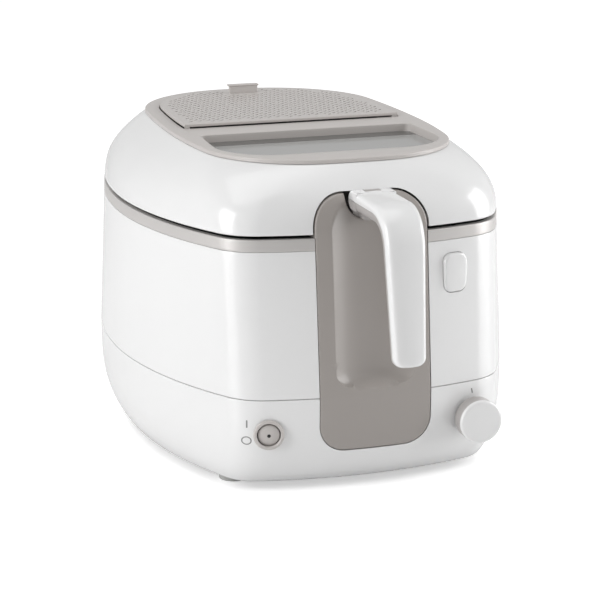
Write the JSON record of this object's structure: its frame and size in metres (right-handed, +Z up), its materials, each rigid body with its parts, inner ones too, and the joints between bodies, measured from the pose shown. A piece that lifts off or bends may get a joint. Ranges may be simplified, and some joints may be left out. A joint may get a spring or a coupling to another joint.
{
  "type": "deep fryer",
  "caption": "Household deep fryer with an oval body, hinged lid with window and filter, wire basket with a folding front handle, thermostat knob and switch.",
  "frame": {"origin": "on the plane the feet rest on, under the middle of the model's box", "axes": "+X right seen from the front, front with the handle towards -Y, +Z up"},
  "size_m": [0.282, 0.4222, 0.2348],
  "materials": {
    "white_shell": "gloss",
    "dark_plastic": "matte",
    "foot_rubber": "matte",
    "silver_band": "satin",
    "seal_rubber": "matte",
    "taupe_panel": "gloss",
    "bowl_coating": "satin non-stick coating",
    "element_steel": "satin",
    "sheet_aluminium": "satin",
    "sheet_steel": "satin",
    "capillary_copper": "drawn tube",
    "terminal_plastic": "matte",
    "grey_plastic": "satin",
    "pin_steel": "turned",
    "basket_wire": "plated",
    "frame_plastic": "satin",
    "window_glass": "clear",
    "foam": "open foam",
    "carbon_felt": "felt"
  },
  "bodies": {
    "root": {"base_housing": "white_shell", "bottom_plate": "dark_plastic", "foot_pads": "foot_rubber", "body_shell": "white_shell", "trim_band": "silver_band", "rim_ring": "dark_plastic", "rim_seal": "seal_rubber", "front_panel": "taupe_panel", "bowl": "bowl_coating", "heating_element": "element_steel", "heat_shield": "sheet_aluminium", "thermostat_body": "sheet_steel", "thermostat_sensor": "capillary_copper", "thermal_cutout": "sheet_steel", "terminal_block": "terminal_plastic", "cord_gland": "dark_plastic", "switch_bezel": "grey_plastic", "switch_body": "dark_plastic", "hinge_bracket": "white_shell", "hinge_pins": "pin_steel", "latch_bracket": "dark_plastic", "latch_pin": "pin_steel", "housing_screws": "pin_steel"},
    "basket": {"basket_floor": "basket_wire", "basket_walls": "basket_wire", "basket_rim": "basket_wire", "basket_bracket": "grey_plastic"},
    "handle": {"handle_cover": "white_shell", "handle_grip": "grey_plastic", "handle_pin": "pin_steel"},
    "lid": {"lid_shell": "white_shell", "lid_liner": "dark_plastic", "top_frame": "frame_plastic", "window_pane": "window_glass", "window_gasket": "seal_rubber", "filter_tray": "dark_plastic", "foam_filter": "foam", "carbon_filter": "carbon_felt", "lid_catch": "dark_plastic", "lid_arms": "dark_plastic"},
    "filter_cover": {"filter_cover": "frame_plastic"},
    "lid_button": {"lid_button": "white_shell"},
    "latch": {"latch_lever": "dark_plastic", "latch_spring": "pin_steel"},
    "switch_rocker": {"switch_rocker": "grey_plastic"},
    "knob": {"thermostat_knob": "white_shell", "knob_spindle": "pin_steel"}
  },
  "joints": [
    {"name": "lid_hinge", "type": "hinge", "parent": "root", "child": "lid", "pos_m": [0, 0.19915, 0.188], "axis": [-1, 0, 0], "range_deg": [0, 78]},
    {"name": "basket_lift", "type": "slide", "parent": "root", "child": "basket", "axis": [0, 0, 1], "range_m": [0, 0.008]},
    {"name": "handle_fold", "type": "hinge", "parent": "basket", "child": "handle", "pos_m": [0, -0.13185, 0.203], "axis": [-1, 0, 0], "range_deg": [0, 84]},
    {"name": "filter_cover_hinge", "type": "hinge", "parent": "lid", "child": "filter_cover", "pos_m": [0, 0.03915, 0.224], "axis": [1, 0, 0], "range_deg": [0, 45]},
    {"name": "lid_button_press", "type": "slide", "parent": "root", "child": "lid_button", "axis": [-0.1959, 0.9806, 0], "range_m": [0, 0.004], "stiffness_N_per_m": 300, "springref_m": -0.002},
    {"name": "latch_release", "type": "hinge", "parent": "root", "child": "latch", "pos_m": [0.05762, -0.11884, 0.116], "axis": [-0.9806, -0.1959, 0], "range_deg": [0, 8]},
    {"name": "switch_rock", "type": "hinge", "parent": "root", "child": "switch_rocker", "pos_m": [-0.07368, -0.13515, 0.047], "axis": [-0.9703, 0.2419, 0], "range_deg": [0, 12]},
    {"name": "thermostat_turn", "type": "hinge", "parent": "root", "child": "knob", "pos_m": [0.074, -0.14165, 0.0455], "axis": [0, 1, 0], "range_deg": [0, 270]}
  ],
  "couplings": [
    {"joint": "latch_release", "follows": "lid_button_press", "rad_per_m": 31.25}
  ]
}
